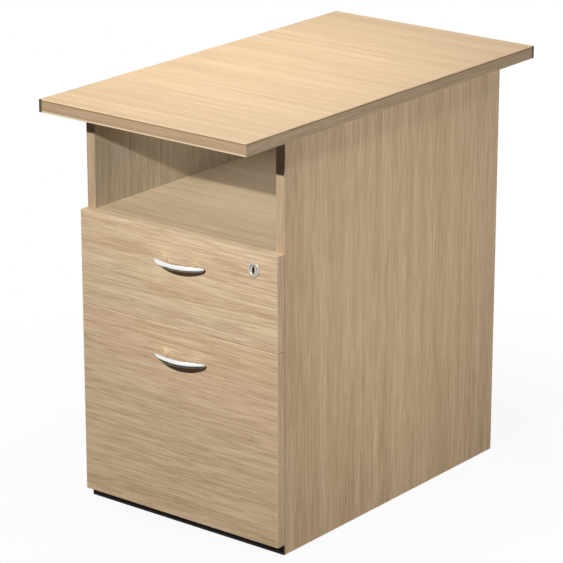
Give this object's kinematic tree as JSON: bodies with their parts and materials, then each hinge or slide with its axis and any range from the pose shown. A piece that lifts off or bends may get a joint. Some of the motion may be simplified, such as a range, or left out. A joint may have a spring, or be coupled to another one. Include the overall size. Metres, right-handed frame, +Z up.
{
  "type": "desk-high pedestal cabinet",
  "caption": "Desk-high pedestal cabinet in pale oak board: open compartment over a shallow drawer and a filing drawer, bow handles, gang lock, levelling feet, overhanging top.",
  "frame": {"origin": "on the floor under the middle of the top", "axes": "+X to the right seen from the front, +Y to the back (drawers face -Y and open towards -Y), +Z up"},
  "size_m": [0.434, 0.8, 0.73],
  "materials": {
    "oak_melamine": "pale oak melamine, satin, fine straight grain",
    "oak_edging": "oak-printed edging strip, satin",
    "box_board": "light grey melamine, matt",
    "box_bottom": "light grey faced fibreboard, matt",
    "dark_plastic": "near-black brown plastic, matt",
    "white_metal": "white powder coat, satin",
    "zinc": "bright zinc plate",
    "satin_handle": "bright satin nickel",
    "nickel": "polished nickel",
    "nylon": "white nylon",
    "black_nylon": "black nylon, matt",
    "ball_steel": "bright steel",
    "beech": "plain beech"
  },
  "bodies": {
    "carcass": {"top_panel": "oak_melamine", "top_end_edgings": "oak_edging", "top_side_edgings": "oak_edging", "left_side_panel": "oak_melamine", "right_side_panel": "oak_melamine", "side_panel_edgings": "oak_edging", "back_panel": "oak_melamine", "bottom_panel": "oak_melamine", "compartment_shelf": "oak_melamine", "plinth_rail": "dark_plastic", "kick_strip": "dark_plastic", "cam_housings": "zinc", "cam_bolts": "zinc", "dowels": "beech", "upper_runner_channel_left": "white_metal", "upper_runner_channel_right": "white_metal", "lower_runner_outer_left": "zinc", "lower_runner_outer_right": "zinc", "runner_screws": "zinc", "lock_housing": "zinc", "lock_bar_guides": "nylon", "foot_inserts": "black_nylon"},
    "upper_drawer": {"upper_drawer_front": "oak_melamine", "upper_box_left": "box_board", "upper_box_right": "box_board", "upper_box_front": "box_board", "upper_box_back": "box_board", "upper_box_bottom": "box_bottom", "upper_handle": "satin_handle", "upper_handle_screws": "zinc", "upper_runner_rail_left": "white_metal", "upper_runner_rail_right": "white_metal", "upper_lock_catch": "zinc", "lock_rosette": "nickel"},
    "lower_drawer": {"lower_drawer_front": "oak_melamine", "lower_box_left": "box_board", "lower_box_right": "box_board", "lower_box_front": "box_board", "lower_box_back": "box_board", "lower_box_bottom": "box_bottom", "lower_handle": "satin_handle", "lower_handle_screws": "zinc", "lower_runner_inner_left": "zinc", "lower_runner_inner_right": "zinc", "lower_lock_catch": "zinc", "file_rails": "zinc"},
    "front_rollers": {"front_rollers": "nylon"},
    "rear_rollers": {"rear_rollers": "nylon"},
    "runner_middles": {"runner_middle_members": "zinc"},
    "outer_cages": {"outer_ball_cages": "zinc", "outer_balls": "ball_steel"},
    "inner_cages": {"inner_ball_cages": "zinc", "inner_balls": "ball_steel"},
    "lock_cylinder": {"lock_cylinder": "nickel"},
    "lock_bar": {"lock_bar": "zinc"},
    "foot_front_left": {"foot_front_left": "black_nylon"},
    "foot_front_right": {"foot_front_right": "black_nylon"},
    "foot_rear_left": {"foot_rear_left": "black_nylon"},
    "foot_rear_right": {"foot_rear_right": "black_nylon"}
  },
  "joints": [
    {"name": "upper_drawer_slide", "type": "slide", "parent": "carcass", "child": "upper_drawer", "axis": [0, -1, 0], "range_m": [0, 0.34]},
    {"name": "lower_drawer_slide", "type": "slide", "parent": "carcass", "child": "lower_drawer", "axis": [0, -1, 0], "range_m": [0, 0.48]},
    {"name": "runner_middles_slide", "type": "slide", "parent": "carcass", "child": "runner_middles", "axis": [0, -1, 0], "range_m": [0, 0.24]},
    {"name": "outer_cages_slide", "type": "slide", "parent": "carcass", "child": "outer_cages", "axis": [0, -1, 0], "range_m": [0, 0.12]},
    {"name": "inner_cages_slide", "type": "slide", "parent": "carcass", "child": "inner_cages", "axis": [0, -1, 0], "range_m": [0, 0.36]},
    {"name": "front_rollers_spin", "type": "hinge", "parent": "carcass", "child": "front_rollers", "pos_m": [0, -0.2805, 0.3822], "axis": [1, 0, 0], "range_deg": [0, 1867.29]},
    {"name": "rear_rollers_spin", "type": "hinge", "parent": "upper_drawer", "child": "rear_rollers", "pos_m": [0, 0.1419, 0.3822], "axis": [1, 0, 0], "range_deg": [0, 1867.29]},
    {"name": "lock_turn", "type": "hinge", "parent": "carcass", "child": "lock_cylinder", "pos_m": [0.1615, -0.26325, 0.492], "axis": [0, 1, 0], "range_deg": [0, 92.8]},
    {"name": "lock_bar_lift", "type": "slide", "parent": "carcass", "child": "lock_bar", "axis": [0, 0, 1], "range_m": [0, 0.00707]},
    {"name": "foot_front_left_screw", "type": "slide", "parent": "carcass", "child": "foot_front_left", "axis": [0, 0, -1], "range_m": [0, 0.01]},
    {"name": "foot_front_right_screw", "type": "slide", "parent": "carcass", "child": "foot_front_right", "axis": [0, 0, -1], "range_m": [0, 0.01]},
    {"name": "foot_rear_left_screw", "type": "slide", "parent": "carcass", "child": "foot_rear_left", "axis": [0, 0, -1], "range_m": [0, 0.01]},
    {"name": "foot_rear_right_screw", "type": "slide", "parent": "carcass", "child": "foot_rear_right", "axis": [0, 0, -1], "range_m": [0, 0.01]}
  ],
  "couplings": [
    {"joint": "runner_middles_slide", "follows": "lower_drawer_slide", "ratio": 0.5},
    {"joint": "outer_cages_slide", "follows": "lower_drawer_slide", "ratio": 0.25},
    {"joint": "inner_cages_slide", "follows": "lower_drawer_slide", "ratio": 0.75},
    {"joint": "front_rollers_spin", "follows": "upper_drawer_slide", "rad_per_m": 95.238},
    {"joint": "rear_rollers_spin", "follows": "upper_drawer_slide", "rad_per_m": 95.238},
    {"joint": "lock_turn", "follows": "lock_bar_lift", "rad_per_m": 222.14}
  ]
}
